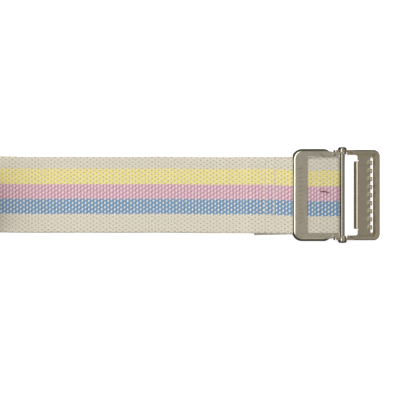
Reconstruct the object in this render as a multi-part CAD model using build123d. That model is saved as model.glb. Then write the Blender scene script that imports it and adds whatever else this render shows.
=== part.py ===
from build123d import *

import os
from math import acos, cos, pi, radians, sin

# Striped cotton strap with a two-frame toothed buckle, lying flat with its spare length rolled up.
#
# Frame: millimetres, +Z up, the surface that the strap lies on is Z = 0, and +X runs along the strap
# from the roll to the buckle.  The origin is the middle of the part's footprint.  Everything across the
# strap is symmetric about Y = 0.  The buckle is laid out from its hinge pin, whose axis is parallel to Y.

# Strap
STRAP_W = 50.8  # 2 inch webbing
STRAP_T = 2.0
FOLD_TAIL = 60.7  # from the hinge pin back to the cut end of the folded-under layer
FOLD_REACH = 2.0  # from the hinge pin back to the outside of the fold
LAYER_GAP = 0.1
EASE_R = 4.0  # bend where the strap steps down from the crossbar
STEP_R = 6.0  # bend where the strap steps down past its folded-under layer

# Roll of the spare length: folded at its middle, then wound from the fold
ROLL_PITCH = 2.25  # from one layer to the next
ROLL_CORE_R = 3.5
ROLL_HALF_TURNS = 10  # of each of the two layers, before the last part turns
ROLL_BACK = 264.6  # from the hinge pin back to the middle of the roll
FREE_END_TURN = 105.0  # degrees of the last turn before the straight free end
FREE_END_STRAIGHT = 22.0

# Metal tip folded over the free end
TIP_SHEET = 0.5
TIP_LENGTH = 17.0
TIP_W = 52.0
TIP_CLEARANCE = 0.02
CRIMP_R = 0.45
CRIMP_INSETS = (4.0, 7.5)

# Sheet metal of both frames
SHEET = 1.2
WALL_FIT = 0.2  # between the ears of the two frames

# Hinge pin
PIN_R = 1.6
PIN_Z = 3.2
PIN_HEAD_R = 2.9
PIN_HEAD_H = 1.9
PIN_TURN_CLEARANCE = 0.06
PIN_SEAT_CLEARANCE = 0.01

# Lever frame: thumb bar, two arms, the crossbar that holds the strap, and two ears on the pin
LEVER_BACK = 33.6
LEVER_HALF = 30.7
LEVER_CORNER = 6.8
LEVER_TOP = 5.6
LEVER_SKIRT = 2.9  # bottom of the rim
LEVER_OVER_STRAP = 4.2  # bottom of the rim where the strap runs under it
LEVER_BEND = 2.6
THUMB_BAR_W = 10.0
WINDOW_HALF = 27.8
WINDOW_CORNER = 2.4
CROSSBAR_BACK = 13.2
CROSSBAR_FRONT = 7.3
CROSSBAR_Z = 2.9
ARM_END = 4.6  # where the flat of the arm stops and the ear goes on
SHOULDER_BACK = 12.4
SHOULDER_FRONT = 6.0
LEDGE_HALF = 25.65  # side ledges beside the strap in the window
LEDGE_Z = 3.0
LEDGE_T = 1.1
CHEEK_TOP = 3.4  # low web between each arm's nose and the pin
NOSE_R = 2.4  # turned-down front edge of each arm
EAR_HALF = 28.5  # outside of the lever's ears
EAR_R = 2.6
GROOVE_COUNT = 13
GROOVE_PITCH = 3.0
GROOVE_R = 0.8
GROOVE_DEPTH = 0.18
GROOVE_BACK = 31.0
GROOVE_LENGTH = 5.4  # of each groove, which rises out of the bar at both ends

# Toothed frame: side rails, end rail, toothed plate with a rounded lip
FRAME_REACH = 24.6
FRAME_HALF = 30.0
FRAME_CORNER = 4.2
FLOOR_Z = 1.4  # underside of the plate
RIM_TOP = 5.4
RIM_FOOT = 0.05  # underside of the rim
RIM_T = 2.9
RIM_ROUND = 1.1
RIM_INNER_ROUND = 0.2
EAR_TAIL = 4.0  # from the pin back to the middle of the ear's round end
EAR_TAIL_R = 1.9
RIM_START = 6.2
RAIL_START = 3.7
SLOT_HALF = 26.9
PLATE_BACK = 10.7
PLATE_FRONT = 18.9
END_SLOT_FRONT = 20.9
END_SLOT_HALF = 25.2
LIP_HALF = 22.7
LIP_BEND_R = 1.0
LIP_ANGLE = 36.0
LIP_STRAIGHT = 2.1
LIP_CORNER = 1.1
RELIEF = 0.6
TOOTH_COUNT = 9
TOOTH_PITCH = 5.37
TOOTH_W = 3.0
TOOTH_BEND_R = 0.5
TOOTH_ANGLE = 80.0
TOOTH_RISE = 0.8
TOOTH_SHEET = 0.8
COIN_R = 2.35  # shallow round hollow behind each tooth
COIN_DEPTH = 0.22

# Lockstitch rows across the folded strap
STITCH_ROWS = {"back": 51.6, "front": 45.4}  # distance behind the hinge pin
STITCH_PITCH = 4.1
STITCH_COUNT = 12
THREAD_R = 0.3
THREAD_TURN_R = 0.55

# Heights of the strap's middle surface, from the surface that it lies on
LOW_Z = STRAP_T / 2
DOUBLE_Z = LOW_Z + STRAP_T + LAYER_GAP
OVER_BAR_Z = 2 * CROSSBAR_Z - LOW_Z

# The roll, worked out from its middle
ROLL_FIRST_R = 2 * ROLL_CORE_R + ROLL_PITCH / 2
ROLL_LAST_R = ROLL_FIRST_R + ROLL_HALF_TURNS * ROLL_PITCH
ROLL_OUT = ROLL_LAST_R + STRAP_T / 2

# The hinge pin's place, which centres the footprint on the origin
PIN_X = (ROLL_BACK + ROLL_OUT - FRAME_REACH) / 2


class Path:
    """A flat line of straight runs and tangent arcs in the XZ plane, and the strip that follows it."""

    def __init__(self, x, z, heading):
        self.x, self.z, self.heading = x, z, radians(heading)
        self.steps = []
        self.length = 0.0

    def line(self, length):
        """Goes straight on."""
        self.steps.append(("line", self.x, self.z, self.heading, length, 0.0))
        self.x += length * cos(self.heading)
        self.z += length * sin(self.heading)
        self.length += length
        return self

    def arc(self, radius, degrees):
        """Turns by degrees: up from a heading of +X if positive, down if negative."""
        turn = radians(degrees)
        self.steps.append(("arc", self.x, self.z, self.heading, radius, turn))
        side = 1 if turn > 0 else -1
        cx = self.x - side * radius * sin(self.heading)
        cz = self.z + side * radius * cos(self.heading)
        self.heading += turn
        self.x = cx + side * radius * sin(self.heading)
        self.z = cz - side * radius * cos(self.heading)
        self.length += radius * abs(turn)
        return self

    def ease(self, radius, rise):
        """Moves sideways by rise, to the left if positive, with two equal arcs, and keeps its heading."""
        angle = acos(1 - abs(rise) / (2 * radius)) * 180 / pi
        side = 1 if rise > 0 else -1
        return self.arc(radius, side * angle).arc(radius, -side * angle)

    def edge(self, offset):
        """The line moved to its left by offset, as edges in order."""
        edges = []
        for kind, x, z, heading, size, turn in self.steps:
            start = Vector(x - offset * sin(heading), 0, z + offset * cos(heading))
            if kind == "line":
                end = start + Vector(size * cos(heading), 0, size * sin(heading))
                edges.append(Edge.make_line(start, end))
                continue
            side = 1 if turn > 0 else -1
            cx, cz = x - side * size * sin(heading), z + side * size * cos(heading)
            radius = size - side * offset
            points = [
                Vector(
                    cx + side * radius * sin(heading + share * turn),
                    0,
                    cz - side * radius * cos(heading + share * turn),
                )
                for share in (0.5, 1.0)
            ]
            edges.append(Edge.make_three_point_arc(start, *points))
        return edges

    def strip(self, thickness, width):
        """The solid strip of that thickness and width, with the line down its middle."""
        left, right = self.edge(thickness / 2), self.edge(-thickness / 2)
        caps = [Edge.make_line(left[end] @ end_at, right[end] @ end_at) for end, end_at in ((0, 0), (-1, 1))]
        face = Face(Wire(left + right + caps))
        return extrude(face, amount=width / 2, dir=(0, 1, 0), both=True)


def slab(sketch, bottom, top):
    """A sketch in plan, filled from bottom to top."""
    return extrude(Pos(0, 0, bottom) * sketch, amount=top - bottom)


def block(x0, x1, y0, y1, z0, z1):
    """A box between two corners."""
    return Pos((x0 + x1) / 2, (y0 + y1) / 2, (z0 + z1) / 2) * Box(x1 - x0, y1 - y0, z1 - z0)


def both_sides(shape):
    """A shape and its mirror image across the strap."""
    return shape + mirror(shape, Plane.XZ)


def cross_pin(radius, half_length):
    """A round bar along the hinge pin's axis."""
    return Pos(PIN_X, 0, PIN_Z) * Rot(90, 0, 0) * Cylinder(radius, 2 * half_length)


# ---- Strap ----


def loop_path():
    """From the cut end, under the crossbar, round it and down to the double layer."""
    fold_r = (OVER_BAR_Z - LOW_Z) / 2
    fold_x = PIN_X - FOLD_REACH - STRAP_T / 2 - fold_r
    path = Path(PIN_X - FOLD_TAIL, LOW_Z, 0)
    path.line(fold_x - path.x)
    path.arc(fold_r, 180)
    path.line(fold_x - (PIN_X - CROSSBAR_BACK - SHEET))
    return path.ease(EASE_R, OVER_BAR_Z - DOUBLE_Z)


def run_path(start):
    """From under the thumb bar, down past the cut end and along the floor to the roll."""
    path = Path(start.x, start.z, 180)
    path.line(start.x - (PIN_X - FOLD_TAIL - LAYER_GAP))
    path.ease(STEP_R, DOUBLE_Z - LOW_Z)
    return path.line(path.x - (PIN_X - ROLL_BACK))


def roll_path(start):
    """Wound inwards to the fold at the core and out again, one layer between the other's turns."""
    path = Path(start.x, start.z, 180)
    path.arc(ROLL_LAST_R, -90)
    radii = [ROLL_FIRST_R + turn * ROLL_PITCH for turn in range(ROLL_HALF_TURNS)]
    for radius in reversed(radii):
        path.arc(radius, -180)
    path.arc(ROLL_CORE_R, -180).arc(ROLL_CORE_R, 180)
    for radius in radii:
        path.arc(radius, 180)
    return path.arc(ROLL_LAST_R, FREE_END_TURN).line(FREE_END_STRAIGHT)


def strap_tip(path):
    """Sheet folded over the free end, pressed into two crimps on each face."""
    inner, outer = STRAP_T + 2 * TIP_CLEARANCE, STRAP_T + 2 * (TIP_CLEARANCE + TIP_SHEET)
    end_gap = TIP_CLEARANCE + TIP_SHEET
    body = block(end_gap - TIP_LENGTH, end_gap, -TIP_W / 2, TIP_W / 2, -outer / 2, outer / 2)
    body = fillet(body.edges().filter_by(Axis.Y).group_by(Axis.X)[-1], 0.45)
    body -= block(-TIP_LENGTH, TIP_CLEARANCE, -TIP_W, TIP_W, -inner / 2, inner / 2)
    groove = Rot(90, 0, 0) * Cylinder(CRIMP_R, TIP_W)
    for inset in CRIMP_INSETS:
        for side in (-1, 1):
            body -= Pos(-inset, 0, side * (outer / 2 + CRIMP_R - TIP_SHEET / 2)) * groove
    return Pos(path.x, 0, path.z) * Rot(0, -path.heading * 180 / pi, 0) * body


def stitch_row(x, side):
    """One thread of a lockstitch row: short runs on one face, each turning into the strap at its ends."""
    top = DOUBLE_Z + STRAP_T / 2 + THREAD_R * 0.5
    bottom = THREAD_R
    level, middle = (top, (top + bottom) / 2) if side == "needle" else (bottom, (top + bottom) / 2)
    towards = -1 if side == "needle" else 1
    stitches = []
    for n in range(STITCH_COUNT):
        y0 = (n - STITCH_COUNT / 2) * STITCH_PITCH + 2 * THREAD_R
        y1 = y0 + STITCH_PITCH - 4 * THREAD_R
        line = FilletPolyline(
            (x, y0, middle - towards * 0.4),
            (x, y0, level),
            (x, y1, level),
            (x, y1, middle - towards * 0.4),
            radius=THREAD_TURN_R,
        )
        section = Plane(origin=line @ 0, z_dir=line % 0) * Circle(THREAD_R)
        stitches.append(sweep(section, path=line))
    return Compound(children=stitches)


# ---- Lever frame ----


def lever_outline(inset):
    """Plan of the lever: a rounded back, arms, and shoulders that draw in to the ears."""
    back, half = PIN_X - LEVER_BACK + inset, LEVER_HALF - inset
    ear = EAR_HALF - inset
    corner = LEVER_CORNER - inset
    shoulder_back, shoulder_front = PIN_X - SHOULDER_BACK, PIN_X - SHOULDER_FRONT
    end = PIN_X + EAR_R
    side = [
        Line((back, 0), (back, half - corner)),
        RadiusArc((back, half - corner), (back + corner, half), corner),
        Line((back + corner, half), (shoulder_back, half)),
        Spline(
            (shoulder_back, half),
            (shoulder_front, ear),
            tangents=((1, 0), (1, 0)),
        ),
        Line((shoulder_front, ear), (end, ear)),
        Line((end, ear), (end, 0)),
    ]
    return make_face(Curve() + side + [mirror(edge, Plane.XZ) for edge in side])


def lever_crossbar():
    """The bar that the strap loops round, and the deep tab that carries it under each arm."""
    back, front = PIN_X - CROSSBAR_BACK, PIN_X - CROSSBAR_FRONT
    bottom, arm = CROSSBAR_Z - SHEET / 2, EAR_HALF + 0.4
    bar = block(back, front, -arm, arm, bottom, bottom + SHEET)
    tab = block(back, front, LEDGE_HALF, arm, bottom, LEVER_TOP)
    return bar + both_sides(tab)


def side_ledges():
    """Low ledges beside the strap in the window, hung from the arms, and a web from each nose to the pin."""
    back, front = PIN_X - LEVER_BACK + THUMB_BAR_W - 0.4, PIN_X - CROSSBAR_BACK + 0.4
    ledge = block(back, front, LEDGE_HALF, EAR_HALF + 0.4, LEDGE_Z, LEDGE_Z + LEDGE_T)
    ledge += block(back, front, WINDOW_HALF, EAR_HALF + 0.4, LEDGE_Z, LEVER_TOP - SHEET + 0.1)
    reach = PIN_X - PIN_R - PIN_TURN_CLEARANCE - 0.3
    ledge += block(PIN_X - 5.4, reach, LEDGE_HALF + 0.2, EAR_HALF - SHEET + 0.1, PIN_Z - 2.2, CHEEK_TOP)
    return both_sides(ledge)


def top_rim(body):
    """Top edges round the outside of a lever solid, without the one at the hinge end."""
    top = body.edges().group_by(Axis.Z)[-1]
    return [edge for edge in top if edge.center().X < PIN_X + 1]


def lever_shell():
    """The dished sheet: a rounded solid with a smaller rounded solid taken out from below."""
    outer = slab(lever_outline(0), LEVER_SKIRT, LEVER_TOP)
    outer = fillet(top_rim(outer), LEVER_BEND)
    inner = slab(lever_outline(SHEET), LEVER_SKIRT - 1, LEVER_TOP - SHEET)
    inner = fillet(top_rim(inner), LEVER_BEND - SHEET)
    return outer - inner


def arm_nose():
    """The front edge of an arm, turned down beside the strap's fold."""
    path = Path(PIN_X - CROSSBAR_FRONT - 0.6, LEVER_TOP - SHEET / 2, 0)
    path.line(0.6).arc(NOSE_R, -78)
    inner = LEDGE_HALF
    width = EAR_HALF - SHEET / 2 - inner
    return Pos(0, inner + width / 2, 0) * path.strip(SHEET, width)


def lever_frame():
    body = lever_shell()
    strap_room = STRAP_W / 2 + 0.4
    body -= block(PIN_X - LEVER_BACK - 1, PIN_X - CROSSBAR_BACK, -strap_room, strap_room, 0, LEVER_OVER_STRAP)
    body -= block(PIN_X - ARM_END, PIN_X + 9, -40, 40, 0, 9)
    window_x = PIN_X - (LEVER_BACK - THUMB_BAR_W + CROSSBAR_BACK) / 2
    window_l = LEVER_BACK - THUMB_BAR_W - CROSSBAR_BACK
    window = Pos(window_x, 0) * RectangleRounded(window_l, 2 * WINDOW_HALF, WINDOW_CORNER)
    body -= slab(window, 0, 9)
    inner = EAR_HALF - SHEET
    notch = block(PIN_X - CROSSBAR_FRONT, PIN_X, -inner + 1, inner - 1, 0, 9)
    body -= notch
    body -= block(PIN_X - CROSSBAR_BACK - 0.01, PIN_X - CROSSBAR_FRONT, -WINDOW_HALF - 0.6, WINDOW_HALF + 0.6, 0, 9)
    body += lever_crossbar()
    body += side_ledges()
    body += both_sides(arm_nose())
    ear = slab(Rectangle(SHOULDER_FRONT, SHEET, align=(Align.MAX, Align.MIN)), -EAR_R, EAR_R)
    ear += Pos(0, SHEET / 2, 0) * Rot(90, 0, 0) * Cylinder(EAR_R, SHEET)
    body += both_sides(Pos(PIN_X, inner, PIN_Z) * ear)
    body -= cross_pin(PIN_R + PIN_TURN_CLEARANCE, 40)
    return body - thumb_grooves()


def thumb_grooves():
    """Shallow grip grooves pressed across the thumb bar, each the low part of an upright ring."""
    ring_r = (GROOVE_LENGTH**2 / 4 + GROOVE_DEPTH**2) / (2 * GROOVE_DEPTH) - GROOVE_R
    ring = Rot(90, 0, 0) * Torus(ring_r, GROOVE_R)
    low = Pos(PIN_X - GROOVE_BACK + GROOVE_LENGTH / 2, 0, LEVER_TOP - GROOVE_DEPTH + GROOVE_R + ring_r) * ring
    low &= block(PIN_X - GROOVE_BACK - 1, PIN_X - GROOVE_BACK + GROOVE_LENGTH + 1, -1, 1, LEVER_TOP - 1, LEVER_TOP + 1)
    places = [(n - (GROOVE_COUNT - 1) / 2) * GROOVE_PITCH for n in range(GROOVE_COUNT)]
    return Part() + [Pos(0, y, 0) * low for y in places]


# ---- Toothed frame ----


def frame_outline(inset):
    """Plan of the toothed frame's outside, square at the hinge end."""
    length = FRAME_REACH - inset + 40
    plan = RectangleRounded(2 * length, 2 * (FRAME_HALF - inset), FRAME_CORNER - inset)
    plan = Pos(PIN_X + FRAME_REACH - inset - length, 0) * plan
    return plan & Pos(PIN_X + 50, 0) * Rectangle(100, 100)


def rim():
    """The thick rounded rim along both side rails and the end rail."""
    plan = frame_outline(0) - frame_outline(RIM_T)
    plan &= Pos(PIN_X + RIM_START + 50, 0) * Rectangle(100, 100)
    body = slab(plan, RIM_FOOT, RIM_TOP)
    inner_half, inner_reach = FRAME_HALF - RIM_T + 0.1, PIN_X + FRAME_REACH - RIM_T + 0.1
    for inside, radius in ((False, RIM_ROUND), (True, RIM_INNER_ROUND)):
        top = [edge for edge in body.edges().group_by(Axis.Z)[-1] if edge.center().X > PIN_X + RIM_START + 0.1]
        walls = [e for e in top if (abs(e.center().Y) < inner_half and e.center().X < inner_reach) == inside]
        body = fillet(walls, radius)
    low = body.edges().group_by(Axis.Z)[0]
    low = [edge for edge in low if edge.center().X > PIN_X + RIM_START + 0.1]
    outside = [e for e in low if abs(e.center().Y) > FRAME_HALF - 0.1 or e.center().X > PIN_X + FRAME_REACH - 1.5]
    return fillet(outside, 0.9)


def lip():
    """The plate's back edge, turned down and rounded for the strap to run over."""
    path = Path(PIN_X + PLATE_BACK + 0.3, FLOOR_Z + SHEET / 2, 180)
    path.line(0.3).arc(LIP_BEND_R, LIP_ANGLE).line(LIP_STRAIGHT)
    body = path.strip(SHEET, 2 * LIP_HALF)
    ends = [edge for edge in body.edges() if abs(edge.center().Y) > LIP_HALF - 0.1 and edge.length < SHEET + 0.1]
    return fillet(ShapeList(ends).group_by(Axis.X)[0], LIP_CORNER)


def tooth():
    """One rounded tooth bent up from the plate's front edge, at Y = 0."""
    path = Path(PIN_X + PLATE_FRONT - 0.2, FLOOR_Z + SHEET - COIN_DEPTH - TOOTH_SHEET / 2, 0)
    path.line(0.2).arc(TOOTH_BEND_R, TOOTH_ANGLE)
    root = path.strip(TOOTH_SHEET, TOOTH_W)
    plane = Plane(
        origin=(path.x, 0, path.z),
        x_dir=(0, 1, 0),
        z_dir=(sin(path.heading), 0, -cos(path.heading)),
    )
    half = TOOTH_W / 2
    up = 1 if plane.y_dir.Z > 0 else -1
    blade = make_face([
        Line((-half, 0), (half, 0)),
        ThreePointArc((half, 0), (0, up * TOOTH_RISE), (-half, 0)),
    ])
    return root + extrude(plane * blade, amount=TOOTH_SHEET / 2, both=True)


def tooth_places():
    return [(n - (TOOTH_COUNT - 1) / 2) * TOOTH_PITCH for n in range(TOOTH_COUNT)]


def toothed_frame():
    plan = frame_outline(0.3) & Pos(PIN_X + RAIL_START + 50, 0) * Rectangle(100, 100)
    slot = Pos(PIN_X + PLATE_BACK - 20, 0) * RectangleRounded(40, 2 * SLOT_HALF, 1.4)
    end_slot_l = END_SLOT_FRONT - PLATE_FRONT
    end_slot = Pos(PIN_X + PLATE_FRONT + end_slot_l / 2, 0) * RectangleRounded(end_slot_l, 2 * END_SLOT_HALF, 0.9)
    relief = Pos(PIN_X + PLATE_BACK, LIP_HALF + RELIEF / 2) * SlotOverall(2 * RELIEF + 0.6, RELIEF)
    plan = plan - slot - end_slot - relief - mirror(relief, Plane.XZ)
    body = slab(plan, FLOOR_Z, FLOOR_Z + SHEET) + rim()
    ear_out, ear_in = EAR_HALF + WALL_FIT + SHEET, EAR_HALF + WALL_FIT
    ear = block(PIN_X, PIN_X + RIM_START + 1.2, ear_in, ear_out, FLOOR_Z, RIM_TOP)
    ear += Pos(PIN_X, (ear_in + ear_out) / 2, PIN_Z) * Rot(90, 0, 0) * Cylinder(PIN_HEAD_R - 0.1, SHEET)
    tail = block(PIN_X - EAR_TAIL, PIN_X, ear_in, ear_out, PIN_Z - EAR_TAIL_R, PIN_Z + EAR_TAIL_R)
    tail += Pos(PIN_X - EAR_TAIL, (ear_in + ear_out) / 2, PIN_Z) * Rot(90, 0, 0) * Cylinder(EAR_TAIL_R, SHEET)
    body += both_sides(ear + tail)
    body += lip()
    coin_ball_r = (COIN_R**2 + COIN_DEPTH**2) / (2 * COIN_DEPTH)
    coin = Pos(PIN_X + PLATE_FRONT, 0, FLOOR_Z + SHEET + coin_ball_r - COIN_DEPTH) * Sphere(coin_ball_r)
    coin &= block(PIN_X + PLATE_FRONT - 4, PIN_X + PLATE_FRONT + 0.4, -4, 4, 0, 9)
    for y in tooth_places():
        body -= Pos(0, y, 0) * coin
    for y in tooth_places():
        body += Pos(0, y, 0) * tooth()
    return body - cross_pin(PIN_R + PIN_SEAT_CLEARANCE, 40)


def hinge_pin():
    """The rivet that joins the frames, with a domed head formed at each end."""
    seat = EAR_HALF + WALL_FIT + SHEET + 0.03
    body = cross_pin(PIN_R, seat + 0.5)
    dome = Pos(0, 0, PIN_HEAD_H / 2) * Cylinder(PIN_HEAD_R, PIN_HEAD_H)
    dome = fillet(dome.edges().group_by(Axis.Z)[-1], PIN_HEAD_H - 0.5)
    return body + both_sides(Pos(PIN_X, seat, PIN_Z) * Rot(-90, 0, 0) * dome)


def main():
    loop = loop_path()
    run = run_path(loop)
    roll = roll_path(run)
    parts = {
        "webbing_loop": loop.strip(STRAP_T, STRAP_W),
        "webbing_run": run.strip(STRAP_T, STRAP_W),
        "webbing_roll": roll.strip(STRAP_T, STRAP_W),
        "strap_tip": strap_tip(roll),
        "lever_frame": lever_frame(),
        "toothed_frame": toothed_frame(),
        "hinge_pin": hinge_pin(),
    }
    for row, back in STITCH_ROWS.items():
        for thread in ("needle", "bobbin"):
            parts[f"{thread}_thread_{row}_row"] = stitch_row(PIN_X - back, thread)
    threads = [shape for name, shape in parts.items() if "thread" in name]
    for name in ("webbing_loop", "webbing_run"):
        parts[name] = parts[name] - [solid for thread in threads for solid in thread.solids()]
    os.makedirs("parts", exist_ok=True)
    for name, shape in parts.items():
        export_step(shape, f"parts/{name}.step")
    cut_length = loop.length + run.length + roll.length
    print(f"hinge pin at x = {PIN_X:.3f} mm; strap cut length {cut_length:.0f} mm")


main()
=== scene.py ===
"""Striped luggage strap with a hinged nickel buckle, flat on a pale table, its spare length rolled up.

The strap runs along X, its width is along Y, and the table is at Z = 0.  Sizes named below are in
millimetres, and MM turns them into metres.  A distance s is measured along the strap's middle surface
from its folded-under cut end.
"""

import bmesh
import bpy
import numpy as np
from math import acos, pi, radians, sin, tau
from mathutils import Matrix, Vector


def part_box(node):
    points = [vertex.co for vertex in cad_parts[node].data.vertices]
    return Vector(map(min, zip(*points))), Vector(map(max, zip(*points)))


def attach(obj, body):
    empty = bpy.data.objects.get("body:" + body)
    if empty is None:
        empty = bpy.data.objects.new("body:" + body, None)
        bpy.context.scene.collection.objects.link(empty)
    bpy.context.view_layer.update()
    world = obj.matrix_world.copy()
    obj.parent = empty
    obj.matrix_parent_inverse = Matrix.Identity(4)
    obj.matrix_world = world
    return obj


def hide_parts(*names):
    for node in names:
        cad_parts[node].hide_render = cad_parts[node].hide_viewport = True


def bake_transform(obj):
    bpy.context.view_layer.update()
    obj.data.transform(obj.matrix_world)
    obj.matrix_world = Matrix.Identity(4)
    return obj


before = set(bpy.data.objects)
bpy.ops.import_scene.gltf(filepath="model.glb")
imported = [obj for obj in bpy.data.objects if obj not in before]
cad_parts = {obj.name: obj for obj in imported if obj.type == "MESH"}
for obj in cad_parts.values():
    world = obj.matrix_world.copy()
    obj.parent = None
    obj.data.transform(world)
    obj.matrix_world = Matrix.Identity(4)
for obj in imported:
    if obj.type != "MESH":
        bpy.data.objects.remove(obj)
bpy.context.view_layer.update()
MM = 0.001
CM = 10.0  # millimetres: the cloth's UV map is in centimetres

# Route of the strap
STRAP_W = 50.8
STRAP_T = 2.0
FOLD_TAIL = 60.7  # from the hinge pin back to the cut end of the folded-under layer
FOLD_REACH = 1.65  # from the hinge pin back to the outside of the fold
LAYER_GAP = 0.1
EASE_R = 4.0  # bend where the strap steps down from the crossbar
STEP_R = 6.0  # bend where it steps down past its folded-under layer
LOW_Z = 1.0  # middle of the layer that lies on the table
DOUBLE_Z = 3.1  # middle of the layer that lies on the folded-under one
OVER_BAR_Z = 4.8  # middle of the layer over the crossbar
BAR_SIDE = 14.4  # from the hinge pin back to where the strap starts down from the crossbar
ROLL_PITCH = 2.25  # from one layer of the roll to the next
ROLL_CORE_R = 3.5
ROLL_HALF_TURNS = 10  # of each of the two layers, before the last part turns
ROLL_BACK = 264.6  # from the hinge pin back to the middle of the roll
FREE_END_TURN = 105.0  # degrees of the last turn before the straight free end
FREE_END_STRAIGHT = 22.0
SEAM_BACK = 28.6  # from the hinge pin back to where the run's piece meets the loop's, under the thumb bar

# How the cloth lies on its route
TAIL_SKEW = 1.5  # how far the folded-under end shows at the side
TAIL_FADE = FOLD_TAIL - 3.0  # length over which that skew dies away
TAIL_SLANT = 2.2  # how far the cut end is out of square
SLANT_POWER = 12  # makes the slant die away much sooner than the skew
BUCKLE_FROM = 40.0  # s at which the strap starts to come into the buckle
BUCKLE_RISE = 14.0  # length that this takes
BUCKLE_TO = 105.0  # s at which it has left the buckle
BUCKLE_FALL = 25.0  # length that this takes
SIDE_SHIFT = 0.15  # how far the strap sits to one side in the buckle
STRIPE_DRIFT = 1.1  # how far the stripes sit to one side there
SPREAD = 0.008  # share by which the cloth is wider than its nominal width
SPREAD_IN_BUCKLE = 0.003  # share added to that in the buckle
SLEW = 0.5  # how far the strap strays to the other side before it reaches the roll
SLEW_FROM = 130.0
SLEW_LENGTH = 160.0
WAVES = ((0.12, 23.0, 0.0), (0.08, 9.1, 1.0))  # sway, length for each radian, and phase, of slow waves

# Weave
WEFT_REPEAT = 4.33
WARP_REPEAT = 2.786
CROWN_LONG = 0.56  # half sizes of one crown of the weft, along and across the strap
CROWN_WIDE = 0.84
YARN_LONG = 0.95  # half sizes of the dome of a yarn, weft or warp
YARN_WIDE = 0.62
PIT_LONG = 0.6  # half sizes of the shadow where four yarns meet
PIT_WIDE = 0.46
YARN_FOOT = 2.2  # where a yarn's dome ends, in squared half sizes
CROWN = 0.05  # height of a yarn's top over the cloth's face
ROLL_CROWN = 0.04
EDGE_FADE = 1.5  # the domes die away over this distance from the edge

# Points of the cloth's meshes: fine where the camera looks, coarse on the roll and underneath
FINE_STEP = 0.43
COARSE_STEP = 1.2
FINE_ACROSS = 106
COARSE_ACROSS = 36
SELVEDGE_POINTS = 4

# Colours
CREAM = (0.72, 0.67, 0.56)
WEFT_CREAM = (0.80, 0.76, 0.67)
WEFT_IN_PINK = (0.79, 0.65, 0.67)
WEFT_IN_YELLOW = (0.78, 0.72, 0.63)
YELLOW = (0.84, 0.74, 0.27)
PINK = (0.66, 0.35, 0.45)
BLUE = (0.2, 0.345, 0.53)
PIT_SHADOW = (0.42, 0.38, 0.32)
THREAD_CREAM = (0.78, 0.74, 0.64)
FIBRE_BROWN = (0.26, 0.15, 0.09)
NICKEL = (0.74, 0.67, 0.53)
# painted shade: the same nickel made darker, for the toothed frame
SHADED_NICKEL = (0.56, 0.49, 0.36)
# painted shade: the same nickel made darker still, for the hinge pin
PIN_NICKEL_SHADED = (0.43, 0.385, 0.3)
STRIPES = (  # each from its share of the width: warp colour, size of the weft's crowns, colour of the weft
    (0.0, CREAM, 1.0, CREAM),
    (0.249, BLUE, 0.92, WEFT_CREAM),
    (0.4419, PINK, 1.5, WEFT_IN_PINK),
    (0.6339, YELLOW, 0.8, WEFT_IN_YELLOW),
    (0.836, CREAM, 1.0, CREAM),
)

# Finish of each metal part: name of the material, colour, roughness
POLISHED = 0.14
SATIN = 0.42
METAL_FINISHES = {
    "lever_frame": ("bright_nickel", NICKEL, POLISHED),
    # the toothed frame's nickel, darkened by painted shade
    "toothed_frame": ("nickel_with_painted_shade", SHADED_NICKEL, POLISHED),
    "strap_tip": ("satin_tip", NICKEL, SATIN),
    # the pin's nickel, darkened by painted shade
    "hinge_pin": ("pin_nickel_painted_shade", PIN_NICKEL_SHADED, POLISHED),
}

pin_low, pin_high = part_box("hinge_pin")
PIN_X = (pin_low.x + pin_high.x) / 2 / MM


# ---- Camera ----

SENSOR_W = 36.0
CAMERA_Z = 420.0
CAMERA_BACK = 94.7  # from the hinge pin back to the middle of the view
CAMERA_Y = -3.3
VIEW_Z = 3.0  # height at which the view is VIEW_W wide
VIEW_W = 266.4


def add_camera():
    """Straight above the strap, level with it."""
    lens = bpy.data.cameras.new("camera")
    lens.sensor_width = SENSOR_W
    lens.lens = SENSOR_W * (CAMERA_Z - VIEW_Z) / VIEW_W
    camera = bpy.data.objects.new("camera", lens)
    camera.location = ((PIN_X - CAMERA_BACK) * MM, CAMERA_Y * MM, CAMERA_Z * MM)
    bpy.context.scene.collection.objects.link(camera)
    bpy.context.scene.camera = camera


add_camera()


# ---- Route of the strap ----

STRAIGHT = 1e-9  # a step with less curvature than this is a straight run


def ease_angle(radius, rise):
    """Angle of each of two equal arcs that together move the route sideways by rise."""
    return acos(1 - abs(rise) / (2 * radius))


def ease_reach(radius, rise):
    """How far the two arcs go forward."""
    return 2 * radius * sin(ease_angle(radius, rise))


def ease(radius, rise):
    """Steps of (length, turn) of the two arcs, which keep the route's heading."""
    angle = ease_angle(radius, rise)
    side = 1 if rise > 0 else -1
    return [(radius * angle, side * angle), (radius * angle, -side * angle)]


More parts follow.
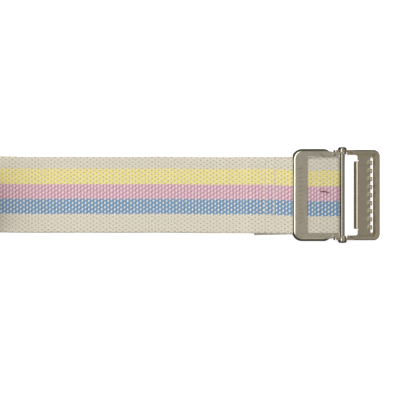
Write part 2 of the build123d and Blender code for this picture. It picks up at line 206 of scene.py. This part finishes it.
def strap_route():
    """Steps of (length, turn) from the cut end, round the crossbar, along the table and into the roll.

    The roll's two layers are half turns whose radius changes by one pitch each, in to the core and out.
    """
    fold_r = (OVER_BAR_Z - LOW_Z) / 2
    fold_x = -FOLD_REACH - STRAP_T / 2 - fold_r
    loop = [(fold_x + FOLD_TAIL, 0.0), (pi * fold_r, pi), (fold_x + BAR_SIDE, 0.0)]
    loop += ease(EASE_R, OVER_BAR_Z - DOUBLE_Z)
    at = -BAR_SIDE - ease_reach(EASE_R, OVER_BAR_Z - DOUBLE_Z)
    run = [(at + FOLD_TAIL + LAYER_GAP, 0.0)] + ease(STEP_R, DOUBLE_Z - LOW_Z)
    at = -FOLD_TAIL - LAYER_GAP - ease_reach(STEP_R, DOUBLE_Z - LOW_Z)
    run += [(at + ROLL_BACK, 0.0)]
    last_r = 2 * ROLL_CORE_R + ROLL_PITCH / 2 + ROLL_HALF_TURNS * ROLL_PITCH
    radii = [last_r - (turn + 1) * ROLL_PITCH for turn in range(ROLL_HALF_TURNS)]
    roll = [(last_r * pi / 2, -pi / 2)] + [(r * pi, -pi) for r in radii]
    roll += [(ROLL_CORE_R * pi, -pi), (ROLL_CORE_R * pi, pi)]
    roll += [(r * pi, pi) for r in reversed(radii)]
    roll += [(last_r * radians(FREE_END_TURN), radians(FREE_END_TURN)), (FREE_END_STRAIGHT, 0.0)]
    return loop, run, roll


def chord(heading, curvature, length):
    """Displacement along an arc or a straight run, in closed form.

    On an arc it is the change of the heading's sine, and of its cosine the other way, over the curvature.
    """
    bent = np.abs(curvature) > STRAIGHT
    k = np.where(bent, curvature, 1.0)
    end = heading + curvature * length
    dx = np.where(bent, (np.sin(end) - np.sin(heading)) / k, np.cos(heading) * length)
    dz = np.where(bent, (np.cos(heading) - np.cos(end)) / k, np.sin(heading) * length)
    return dx, dz


loop_steps, run_steps, roll_steps = strap_route()
route = np.array(loop_steps + run_steps + roll_steps)
step_start = np.concatenate(([0.0], np.cumsum(route[:, 0])))
step_heading = np.concatenate(([0.0], np.cumsum(route[:, 1])))
step_curve = route[:, 1] / route[:, 0]
step_dx, step_dz = chord(step_heading[:-1], step_curve, route[:, 0])
step_x = PIN_X - FOLD_TAIL + np.concatenate(([0.0], np.cumsum(step_dx)))
step_z = LOW_Z + np.concatenate(([0.0], np.cumsum(step_dz)))

LOOP_END = sum(length for length, turn in loop_steps)
SEAM = LOOP_END + (SEAM_BACK - BAR_SIDE - ease_reach(EASE_R, OVER_BAR_Z - DOUBLE_Z))
RUN_END = LOOP_END + sum(length for length, turn in run_steps)
STRAP_END = float(step_start[-1])


def along(s):
    """Place and heading of the strap's middle surface at distances s from the cut end."""
    n = np.clip(np.searchsorted(step_start, s, side="right") - 1, 0, len(route) - 1)
    dx, dz = chord(step_heading[n], step_curve[n], s - step_start[n])
    return step_x[n] + dx, step_z[n] + dz, step_heading[n] + step_curve[n] * (s - step_start[n])


# ---- Building meshes ----


def link(name, mesh):
    piece = bpy.data.objects.new(name, mesh)
    bpy.context.scene.collection.objects.link(piece)
    return piece


def outward(mesh):
    """Turns every face to the outside."""
    work = bmesh.new()
    work.from_mesh(mesh)
    bmesh.ops.recalc_face_normals(work, faces=work.faces)
    if work.calc_volume(signed=True) < 0:
        bmesh.ops.reverse_faces(work, faces=work.faces)
    work.to_mesh(mesh)
    work.free()


def tube_of_rings(name, points, uv=None):
    """A closed skin from rings of points, shape (rings, around, 3) in mm, with a flat cap on each end.

    uv, of shape (rings, around, 2), gives each point its distance along and across the strap in centimetres.
    """
    rings, around = points.shape[:2]
    index = np.arange(rings * around).reshape(rings, around)
    a, b = index[:-1], index[1:]
    quads = np.stack([a, np.roll(a, -1, 1), np.roll(b, -1, 1), b], -1).reshape(-1, 4)
    faces = quads.tolist() + [index[0][::-1].tolist(), index[-1].tolist()]
    mesh = bpy.data.meshes.new(name)
    mesh.from_pydata((points.reshape(-1, 3) * MM).tolist(), [], faces)
    if uv is not None:
        corner = np.zeros(len(mesh.loops), np.int32)
        mesh.loops.foreach_get("vertex_index", corner)
        layer = mesh.uv_layers.new(name="strap_cm")
        layer.data.foreach_set("uv", uv.reshape(-1, 2)[corner].astype(np.float32).ravel())
    outward(mesh)
    mesh.polygons.foreach_set("use_smooth", np.ones(len(mesh.polygons), bool))
    return link(name, mesh)


def section(top_count, low_count):
    """Points round the strap's cross-section: a slot shape with straight faces and half-round selvedges.

    Gives distance across, height off the middle surface, and 1 on the faces or 0 on the selvedges.
    """
    r = STRAP_T / 2
    flat = STRAP_W / 2 - r
    top = np.linspace(flat, -flat, top_count)
    low = np.linspace(-flat, flat, low_count)
    turn = np.linspace(0, pi, SELVEDGE_POINTS + 2)[1:-1]
    y = np.concatenate([top, -flat - r * np.sin(turn), low, flat + r * np.sin(turn)])
    h = np.concatenate([np.full(top_count, r), r * np.cos(turn), np.full(low_count, -r), -r * np.cos(turn)])
    selvedge = np.zeros(SELVEDGE_POINTS)
    face = np.concatenate([np.ones(top_count), selvedge, np.ones(low_count), selvedge])
    return y, h, face


def fold_back(x, half):
    """Distance to the nearest multiple of twice half: a triangle wave from 0 to half."""
    return np.abs((x + half) % (2 * half) - half)


def weave_height(s, y):
    """Yarns by turns on a lattice: a dome over each, 1 less the squared distance in half sizes."""
    near_s = fold_back(s, WEFT_REPEAT / 4)
    near_y = fold_back(y, WARP_REPEAT / 4)
    return 1.0 - np.minimum((near_s / YARN_LONG) ** 2 + (near_y / YARN_WIDE) ** 2, YARN_FOOT)


def in_buckle(s):
    """1 where the strap lies in the buckle, falling to 0 in straight lines before and behind it."""
    return np.clip((BUCKLE_TO - s) / BUCKLE_FALL, 0, 1) * np.clip((s - BUCKLE_FROM) / BUCKLE_RISE, 0, 1)


def wander(s):
    """How far the strap's middle strays across.

    Slow sines, less the shift in the buckle eased by 3 x squared less 2 x cubed, plus a straight slew.
    """
    inside = in_buckle(s)
    waves = sum(sway * np.sin(s / length + phase) for sway, length, phase in WAVES)
    slew = SLEW * np.clip((s - SLEW_FROM) / SLEW_LENGTH, 0, 1)
    return waves - SIDE_SHIFT * inside**2 * (3 - 2 * inside) + slew


def webbing(name, start, end, step, top_count, low_count, crown):
    """Carries the cross-section along the route from start to end, and lifts both faces by the weave.

    A point is the middle surface's place, less height times the route's normal, plus distance across.
    The fold turns the route back along X, so from there on its normal points down and the height up.
    """
    s = np.linspace(start, end, max(2, round((end - start) / step)) + 1)[:, None]
    y, h, face = (values[None, :] for values in section(top_count, low_count))
    edge = np.clip((STRAP_W / 2 - np.abs(y)) / EDGE_FADE, 0, 1)
    tail = np.clip(1 - s / TAIL_FADE, 0, 1)
    s_bent = s + TAIL_SLANT * tail**SLANT_POWER * (0.5 - y / STRAP_W)
    x, z, heading = along(np.clip(s_bent, 0, STRAP_END))
    lift = -h - np.sign(h) * crown * face * edge * weave_height(s, y)
    inside = in_buckle(s)
    points = np.empty(np.broadcast(s, y).shape + (3,))
    points[..., 0] = x - np.sin(heading) * lift
    points[..., 1] = y * (1 + SPREAD + SPREAD_IN_BUCKLE * inside) - TAIL_SKEW * tail + wander(s)
    points[..., 2] = z + np.cos(heading) * lift
    uv = np.stack(np.broadcast_arrays(s / CM, (y + STRIPE_DRIFT * inside) / CM), -1)
    return tube_of_rings(name, points, uv)


# ---- Node helpers ----


class Nodes:
    """Short ways to add and join nodes in one tree."""

    def __init__(self, tree):
        self.tree = tree

    def add(self, kind, values=(), **settings):
        node = self.tree.nodes.new(kind)
        for name, value in settings.items():
            setattr(node, name, value)
        for key, value in dict(values).items():
            self.give(node.inputs[key], value)
        return node

    def give(self, socket, value):
        """Links a socket to another one, or sets its own value."""
        if isinstance(value, bpy.types.NodeSocket):
            self.tree.links.new(value, socket)
        else:
            socket.default_value = value

    def math(self, operation, a, b=0.0, c=0.0):
        node = self.tree.nodes.new("ShaderNodeMath")
        node.operation = operation
        for socket, value in zip(node.inputs, (a, b, c)):
            self.give(socket, value)
        return node.outputs[0]

    def ramp(self, value, low, high):
        """0 at low, 1 at high, eased between."""
        node = self.tree.nodes.new("ShaderNodeMapRange")
        node.interpolation_type = "SMOOTHSTEP"
        for key, setting in (("Value", value), ("From Min", low), ("From Max", high)):
            self.give(node.inputs[key], setting)
        return node.outputs[0]

    def mix(self, factor, a, b, blend="MIX"):
        node = self.tree.nodes.new("ShaderNodeMix")
        node.data_type = "RGBA"
        node.blend_type = blend
        self.give(node.inputs["Factor"], factor)
        self.give(node.inputs["A"], a)
        self.give(node.inputs["B"], b)
        return node.outputs["Result"]

    def grey(self, level):
        """The same level in all three channels."""
        return self.add("ShaderNodeCombineColor", {"Red": level, "Green": level, "Blue": level}).outputs[0]

    def steps(self, share, stops, interpolation):
        """A colour ramp through stops of (position, colour)."""
        node = self.add("ShaderNodeValToRGB", {"Fac": share})
        ramp = node.color_ramp
        ramp.interpolation = interpolation
        while len(ramp.elements) < len(stops):
            ramp.elements.new(1.0)
        for element, (position, colour) in zip(ramp.elements, stops):
            element.position = position
            element.color = rgba(colour)
        return node.outputs["Color"]


def rgba(colour):
    return (*colour, 1.0)


def shaded(colour, share):
    """A colour made lighter or darker, no channel over 1."""
    return rgba([min(1, channel * share) for channel in colour])


def new_group(name, inputs, outputs):
    """A shader node group from (label, kind of socket, default) inputs and labels of float outputs."""
    tree = bpy.data.node_groups.new(name, "ShaderNodeTree")
    for label, kind, default in inputs:
        socket = tree.interface.new_socket(label, in_out="INPUT", socket_type=kind)
        if default is not None:
            socket.default_value = default
    for label in outputs:
        tree.interface.new_socket(label, in_out="OUTPUT", socket_type="NodeSocketFloat")
    return tree, Nodes(tree), tree.nodes.new("NodeGroupInput"), tree.nodes.new("NodeGroupOutput")


def new_material(name):
    material = bpy.data.materials.new(name)
    material.use_nodes = True
    tree = material.node_tree
    return material, Nodes(tree), tree.nodes["Principled BSDF"]


# ---- Weave and wear ----

SLUB = {"Scale": 4.0, "Detail": 2.0}  # noises on the strap, per centimetre
FUZZ = {"Scale": 45.0, "Detail": 3.0}
MOTTLE = {"Scale": 13.0, "Detail": 2.0}
SLUB_SWAY = 0.5  # range in mm over which uneven yarns stray
CROWN_FRAY = 0.9  # how ragged the fuzz leaves the outline of a crown
PIT_FRAY = 2.4
CROWN_BLUR = 0.3  # softness of a crown's outline, in squared half sizes
PIT_CORE = 0.1  # a pit is darkest up to here, in squared half sizes
PIT_RIM = 1.2  # and ends here
YARN_RISE = 0.4  # share of the bump's height that a yarn's dome has
FUZZ_RISE = 0.5  # share that its fuzz has
MOTTLE_SHARE = 1.5  # how strong broad mottling is beside the fuzz

CLOUD = {"Scale": 260.0, "Detail": 4.0}  # noises on the metal, per metre
SCRATCH = {"Scale": 2600.0, "Detail": 2.0}
SCRATCH_STRETCH = 0.06  # squeezes the second one along Y, so that it turns to lines


def weave_group():
    """Where the weft comes over the warp, the pits where four yarns meet, and the yarns' height and fuzz."""
    tree, nodes, given, out = new_group(
        "plain_weave",
        [("Strap", "NodeSocketVector", None), ("Crown size", "NodeSocketFloat", 1.0)],
        ["Crown", "Dip", "Height", "Fuzz"],
    )
    strap = given.outputs["Strap"]
    size = given.outputs["Crown size"]
    apart = nodes.add("ShaderNodeSeparateXYZ", {"Vector": strap})
    slub = nodes.add("ShaderNodeTexNoise", {"Vector": strap, **SLUB})
    shift = nodes.math("MULTIPLY", nodes.math("SUBTRACT", slub.outputs["Fac"], 0.5), SLUB_SWAY)
    s = nodes.math("MULTIPLY_ADD", apart.outputs["X"], CM, shift)
    y = nodes.math("MULTIPLY_ADD", apart.outputs["Y"], CM, shift)

    def oval(along, across, long, wide):
        """Squared distance from the middle of an oval, in half sizes."""
        x = nodes.math("DIVIDE", along, long)
        w = nodes.math("DIVIDE", across, wide)
        return nodes.math("ADD", nodes.math("MULTIPLY", x, x), nodes.math("MULTIPLY", w, w))

    def staggered(along, across, long, wide):
        """The same from the nearest oval of two lattices, the second shifted half a repeat both ways."""
        near_s = nodes.math("PINGPONG", along, WEFT_REPEAT / 2)
        near_y = nodes.math("PINGPONG", across, WARP_REPEAT / 2)
        far_s = nodes.math("SUBTRACT", WEFT_REPEAT / 2, near_s)
        far_y = nodes.math("SUBTRACT", WARP_REPEAT / 2, near_y)
        return nodes.math("MINIMUM", oval(near_s, near_y, long, wide), oval(far_s, far_y, long, wide))

    crown = staggered(s, y, CROWN_LONG, CROWN_WIDE)
    pit_s = nodes.math("ADD", s, WEFT_REPEAT / 4)
    pit_y = nodes.math("ADD", y, WARP_REPEAT / 4)
    pit = staggered(pit_s, pit_y, PIT_LONG, PIT_WIDE)
    yarn_s = nodes.math("PINGPONG", s, WEFT_REPEAT / 4)
    yarn_y = nodes.math("PINGPONG", y, WARP_REPEAT / 4)
    yarn = nodes.math("MINIMUM", oval(yarn_s, yarn_y, YARN_LONG, YARN_WIDE), YARN_FOOT)
    fuzz = nodes.add("ShaderNodeTexNoise", {"Vector": strap, **FUZZ}).outputs["Fac"]
    frayed = nodes.math("SUBTRACT", fuzz, 0.5)
    ragged = nodes.math("MULTIPLY_ADD", frayed, CROWN_FRAY, crown)
    ragged_pit = nodes.math("MULTIPLY_ADD", frayed, PIT_FRAY, pit)
    inner = nodes.math("SUBTRACT", size, CROWN_BLUR)
    outer = nodes.math("ADD", size, CROWN_BLUR)
    mottle = nodes.add("ShaderNodeTexNoise", {"Vector": strap, **MOTTLE})
    cloudy = nodes.math("SUBTRACT", mottle.outputs["Fac"], 0.5)
    results = {
        "Crown": nodes.math("SUBTRACT", 1.0, nodes.ramp(ragged, inner, outer)),
        "Dip": nodes.math("SUBTRACT", 1.0, nodes.ramp(ragged_pit, PIT_CORE, PIT_RIM)),
        "Height": nodes.math("MULTIPLY_ADD", fuzz, FUZZ_RISE, nodes.math("MULTIPLY", yarn, -YARN_RISE)),
        "Fuzz": nodes.math("MULTIPLY_ADD", cloudy, MOTTLE_SHARE, fuzz),
    }
    for label, value in results.items():
        tree.links.new(value, out.inputs[label])
    return tree


def wear_group():
    """Soft cloudy handling marks and fine polishing lines on plated metal."""
    tree, nodes, given, out = new_group(
        "plating_wear",
        [("Place", "NodeSocketVector", None)],
        ["Cloud", "Lines"],
    )
    place = given.outputs["Place"]
    cloud = nodes.add("ShaderNodeTexNoise", {"Vector": place, **CLOUD})
    stretch = nodes.add("ShaderNodeMapping", {"Vector": place, "Scale": (1.0, SCRATCH_STRETCH, 1.0)})
    lines = nodes.add("ShaderNodeTexNoise", {"Vector": stretch.outputs[0], **SCRATCH})
    tree.links.new(cloud.outputs["Fac"], out.inputs["Cloud"])
    tree.links.new(lines.outputs["Fac"], out.inputs["Lines"])
    return tree


WEAVE = weave_group()
WEAR = wear_group()


# ---- Materials ----

PIT_DEPTH = 0.8  # how much of its shadow a pit takes
BUCKLE_SHADE_FROM = 9.4  # cm along the strap where painted shade starts to darken the cloth towards the buckle
BUCKLE_SHADE_FULL = 8.4
BUCKLE_SHADE_DEPTH = 0.15
EDGE_FROM = 2.44  # cm from the middle where painted shade starts to darken the selvedge
EDGE_FULL = 2.56
EDGE_SHADE = 0.3
FUZZ_SHADE = 0.6  # how much the fuzz and mottling lighten and darken the cloth
BASE_SHADE = 0.732
CLOTH_BUMP = {"Strength": 0.4, "Distance": 0.0003}

NICKEL_DARK = 0.9  # range of the cloudy marks on metal, as a share of its colour
NICKEL_LIGHT = 1.08
NICKEL_SPREAD = 0.16  # range of its roughness
NICKEL_BUMP = {"Strength": 0.08, "Distance": 0.00005}

PLY = {"Scale": 900.0, "Distortion": 1.5}  # bands of a twisted thread, per metre
# painted shade in the grooves between the plies
PLY_GROOVE_SHADE = 0.72
PLY_BUMP = {"Strength": 0.4, "Distance": 0.0001}


def bumped(nodes, shader, height, bump):
    """Raises a material's surface by a height."""
    node = nodes.add("ShaderNodeBump", {"Height": height, **bump})
    nodes.give(shader.inputs["Normal"], node.outputs["Normal"])


def webbing_material():
    """Cotton plain weave: stripes of warp along the strap, and the weft in a lattice of small crowns."""
    material, nodes, shader = new_material("striped_webbing")
    place = nodes.add("ShaderNodeUVMap", uv_map="strap_cm").outputs["UV"]
    apart = nodes.add("ShaderNodeSeparateXYZ", {"Vector": place})
    share = nodes.math("ADD", nodes.math("DIVIDE", apart.outputs["Y"], STRAP_W / CM), 0.5)
    starts, warps, sizes, wefts = zip(*STRIPES)
    warp = nodes.steps(share, list(zip(starts, warps)), "CONSTANT")
    weft = nodes.steps(share, list(zip(starts, wefts)), "CONSTANT")
    half_sizes = [(size / 2,) * 3 for size in sizes]  # halved, because a ramp holds no more than 1
    size = nodes.steps(share, list(zip(starts, half_sizes)), "CONSTANT")
    weave = nodes.add("ShaderNodeGroup", node_tree=WEAVE)
    nodes.give(weave.inputs["Strap"], place)
    nodes.give(weave.inputs["Crown size"], nodes.math("MULTIPLY", size, 2.0))
    yarn = nodes.mix(weave.outputs["Crown"], warp, weft)
    dip = nodes.math("MULTIPLY", weave.outputs["Dip"], PIT_DEPTH)
    dipped = nodes.mix(dip, yarn, rgba(PIT_SHADOW), "MULTIPLY")
    # painted shade: the cloth made darker inside the buckle and along both selvedges
    buckle_shade_mask = nodes.ramp(apart.outputs["X"], BUCKLE_SHADE_FROM, BUCKLE_SHADE_FULL)
    edge = nodes.ramp(nodes.math("ABSOLUTE", apart.outputs["Y"]), EDGE_FROM, EDGE_FULL)
    buckle_shade = nodes.math("MULTIPLY", buckle_shade_mask, BUCKLE_SHADE_DEPTH)
    painted_shade = nodes.math("ADD", buckle_shade, nodes.math("MULTIPLY", edge, EDGE_SHADE))
    fuzzy = nodes.math("MULTIPLY_ADD", weave.outputs["Fuzz"], FUZZ_SHADE, BASE_SHADE)
    tint = nodes.grey(nodes.math("SUBTRACT", fuzzy, painted_shade))
    nodes.give(shader.inputs["Base Color"], nodes.mix(1.0, dipped, tint, "MULTIPLY"))
    shader.inputs["Roughness"].default_value = 0.9
    shader.inputs["Sheen Weight"].default_value = 0.15
    bumped(nodes, shader, weave.outputs["Height"], CLOTH_BUMP)
    return material


def nickel_material(name, colour, roughness):
    """Nickel plate with cloudy marks in its colour and roughness, and fine polishing lines."""
    material, nodes, shader = new_material(name)
    place = nodes.add("ShaderNodeTexCoord")
    wear = nodes.add("ShaderNodeGroup", node_tree=WEAR)
    nodes.give(wear.inputs["Place"], place.outputs["Object"])
    shader.inputs["Metallic"].default_value = 1.0
    cloud = wear.outputs["Cloud"]
    tone = nodes.mix(cloud, shaded(colour, NICKEL_DARK), shaded(colour, NICKEL_LIGHT))
    nodes.give(shader.inputs["Base Color"], tone)
    rough = nodes.math("ADD", nodes.math("MULTIPLY", cloud, NICKEL_SPREAD), roughness - NICKEL_SPREAD / 2)
    nodes.give(shader.inputs["Roughness"], rough)
    bumped(nodes, shader, wear.outputs["Lines"], NICKEL_BUMP)
    return material


def thread_material(name, colour):
    """Twisted thread: painted shade in bands between its plies."""
    material, nodes, shader = new_material(name)
    place = nodes.add("ShaderNodeTexCoord")
    twist = nodes.add("ShaderNodeTexWave", {"Vector": place.outputs["Object"], **PLY}).outputs["Fac"]
    nodes.give(shader.inputs["Base Color"], nodes.mix(twist, shaded(colour, PLY_GROOVE_SHADE), rgba(colour)))
    shader.inputs["Roughness"].default_value = 0.8
    bumped(nodes, shader, twist, PLY_BUMP)
    return material


def dress(piece, material):
    piece.data.materials.clear()
    piece.data.materials.append(material)


# ---- Strap ----

webbing_finish = webbing_material()
loop_piece = webbing("webbing_round_crossbar", 0.0, SEAM, FINE_STEP, FINE_ACROSS, COARSE_ACROSS, CROWN)
run_piece = webbing("webbing_flat_run", SEAM, RUN_END, FINE_STEP, FINE_ACROSS, COARSE_ACROSS, CROWN)
roll_piece = webbing(
    "webbing_rolled_spare", RUN_END, STRAP_END, COARSE_STEP, COARSE_ACROSS, COARSE_ACROSS, ROLL_CROWN
)
for piece, node, start, end, held in (
    (loop_piece, "webbing_loop", 0.0, SEAM, "folded"),
    (run_piece, "webbing_run", SEAM, RUN_END, "laid"),
    (roll_piece, "webbing_roll", RUN_END, STRAP_END, "folded"),
):
    dress(piece, webbing_finish)
    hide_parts(node)
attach(run_piece, "strap")
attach(roll_piece, "strap")
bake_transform(loop_piece)


# ---- Buckle, strap tip and stitching: parts that keep their own shape ----

cream_thread = thread_material("cream_sewing_thread", THREAD_CREAM)
metals = {name: nickel_material(*finish) for name, finish in METAL_FINISHES.items()}
for name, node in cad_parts.items():
    if "thread" in name:
        dress(node, cream_thread)
    elif name in metals:
        dress(node, metals[name])


# ---- Stray fibre ----

FIBRE_BACK = 15.1  # from the hinge pin back to its thick end
FIBRE_LENGTH = 6.3
FIBRE_Y = 2.5
FIBRE_FALL = 1.0  # how far it runs across the strap
FIBRE_SWAY = 0.25
FIBRE_SWAY_TURN = 4.0  # radians of the sway's sine over its length
FIBRE_R = 0.4
FIBRE_TAPER = 0.5  # share of its radius lost by its thin end
FIBRE_CLEAR = 0.12  # its axis over the tops of the yarns
FIBRE_ARCH = 0.2
FIBRE_RINGS = 24
FIBRE_SIDES = 8


def stray_fibre():
    """A thin bent hair of brown fibre on the pink stripe: a tube of shrinking radius along a shallow sine.

    With t from 0 to 1 along it, the axis sways by a sine of t and arches up by half a sine, and the radius
    falls with the square of t.
    """
    t = np.linspace(0, 1, FIBRE_RINGS)[:, None]
    turn = np.linspace(0, tau, FIBRE_SIDES + 1)[:-1][None, :]
    radius = FIBRE_R * (1 - FIBRE_TAPER * t**2)
    x = PIN_X - FIBRE_BACK + FIBRE_LENGTH * t
    y = FIBRE_Y - FIBRE_FALL * t + FIBRE_SWAY * np.sin(FIBRE_SWAY_TURN * t)
    z = OVER_BAR_Z + STRAP_T / 2 + CROWN + FIBRE_CLEAR + FIBRE_ARCH * np.sin(pi * t)
    ring = (x + 0 * turn, y + radius * np.cos(turn), z + radius * np.sin(turn))
    return tube_of_rings("stray_fibre", np.stack(np.broadcast_arrays(*ring), -1))


fibre = stray_fibre()
dress(fibre, thread_material("brown_fibre", FIBRE_BROWN))
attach(fibre, "lever")


# ---- Table and light ----

TABLE_HALF = 3.0  # metres
TABLE_COLOUR = (0.86, 0.86, 0.86)
TABLE_GLOW = 0.7  # keeps the table as pale as the room round it
TABLE_PAINTED_REFLECTION = (0.06, 0.056, 0.05)  # painted reflection: the dark colour that glossy rays see in place of the table

DOME = (  # brightness of the dome by the sine of the height angle
    (0.0, 0.025),
    (0.24, 0.05),
    (0.48, 0.2),
    (0.66, 0.28),
    (0.86, 0.35),
    (0.96, 0.4),
    (1.0, 0.42),
)
DOME_BLUE = 0.98  # its blue channel beside the other two
PANEL_AXIS = (-0.9, 0.43, 0.0)  # from the middle of the table towards the large lit panel
PANEL = 2.2  # brightness of that panel
PANEL_SIDE = (0.3, 0.4)  # soft near edge of it, along the axis
PANEL_FOOT = (0.62, 0.7)  # soft lower edge
FILL = 0.3  # brightness of the faint one facing it
FILL_SIDE = (-0.3, -0.42)
FILL_FOOT = (0.6, 0.7)
KEY_ENERGY = 1.4
KEY_ANGLE = 25.0  # degrees
KEY_TURN = (-32.0, -8.0, 0.0)  # degrees


def table():
    """A plain pale square of table under the strap; glossy rays see a painted dark reflection in its place.
    """
    half = TABLE_HALF
    corners = [(-half, -half, 0), (half, -half, 0), (half, half, 0), (-half, half, 0)]
    mesh = bpy.data.meshes.new("table")
    mesh.from_pydata(corners, [], [(0, 1, 2, 3)])
    piece = link("table", mesh)
    material, nodes, shader = new_material("pale_table")
    shader.inputs["Base Color"].default_value = rgba(TABLE_COLOUR)
    shader.inputs["Roughness"].default_value = 0.9
    shader.inputs["Emission Color"].default_value = (1, 1, 1, 1)
    shader.inputs["Emission Strength"].default_value = TABLE_GLOW
    # painted reflection: metal mirrors this dark colour in place of the table
    dark = nodes.add("ShaderNodeEmission", {"Color": rgba(TABLE_PAINTED_REFLECTION), "Strength": 1.0})
    path = nodes.add("ShaderNodeLightPath")
    swap = nodes.add("ShaderNodeMixShader", {"Fac": path.outputs["Is Glossy Ray"]})
    nodes.give(swap.inputs[1], shader.outputs[0])
    nodes.give(swap.inputs[2], dark.outputs[0])
    nodes.give(nodes.tree.nodes["Material Output"].inputs["Surface"], swap.outputs[0])
    piece.data.materials.append(material)


def studio():
    """A soft dome, grey overhead and dark low down, with two lit panels that face each other and a key light.

    The camera itself sees plain white in place of the dome.
    """
    world = bpy.data.worlds.new("studio")
    bpy.context.scene.world = world
    world.use_nodes = True
    nodes = Nodes(world.node_tree)
    ray = nodes.add("ShaderNodeTexCoord").outputs["Generated"]
    height = nodes.add("ShaderNodeSeparateXYZ", {"Vector": ray}).outputs["Z"]
    stops = [(position, (level, level, level * DOME_BLUE)) for position, level in DOME]
    dome = nodes.steps(height, stops, "LINEAR")
    turned = nodes.add("ShaderNodeVectorMath", {0: ray, 1: PANEL_AXIS}, operation="DOT_PRODUCT")
    across = turned.outputs["Value"]
    panel = nodes.math("MULTIPLY", nodes.ramp(across, *PANEL_SIDE), nodes.ramp(height, *PANEL_FOOT))
    fill = nodes.math("MULTIPLY", nodes.ramp(across, *FILL_SIDE), nodes.ramp(height, *FILL_FOOT))
    glow = nodes.grey(nodes.math("MULTIPLY_ADD", panel, PANEL, nodes.math("MULTIPLY", fill, FILL)))
    total = nodes.mix(1.0, dome, glow, "ADD")
    path = nodes.add("ShaderNodeLightPath")
    background = world.node_tree.nodes["Background"]
    nodes.give(background.inputs["Color"], nodes.mix(path.outputs["Is Camera Ray"], total, (1, 1, 1, 1)))
    background.inputs["Strength"].default_value = 1.0
    key = bpy.data.lights.new("key", "SUN")
    key.energy = KEY_ENERGY
    key.angle = radians(KEY_ANGLE)
    lamp = bpy.data.objects.new("key", key)
    lamp.rotation_euler = [radians(degrees) for degrees in KEY_TURN]
    lamp.visible_glossy = False
    bpy.context.scene.collection.objects.link(lamp)


table()
studio()
bpy.context.scene.view_settings.view_transform = "Standard"
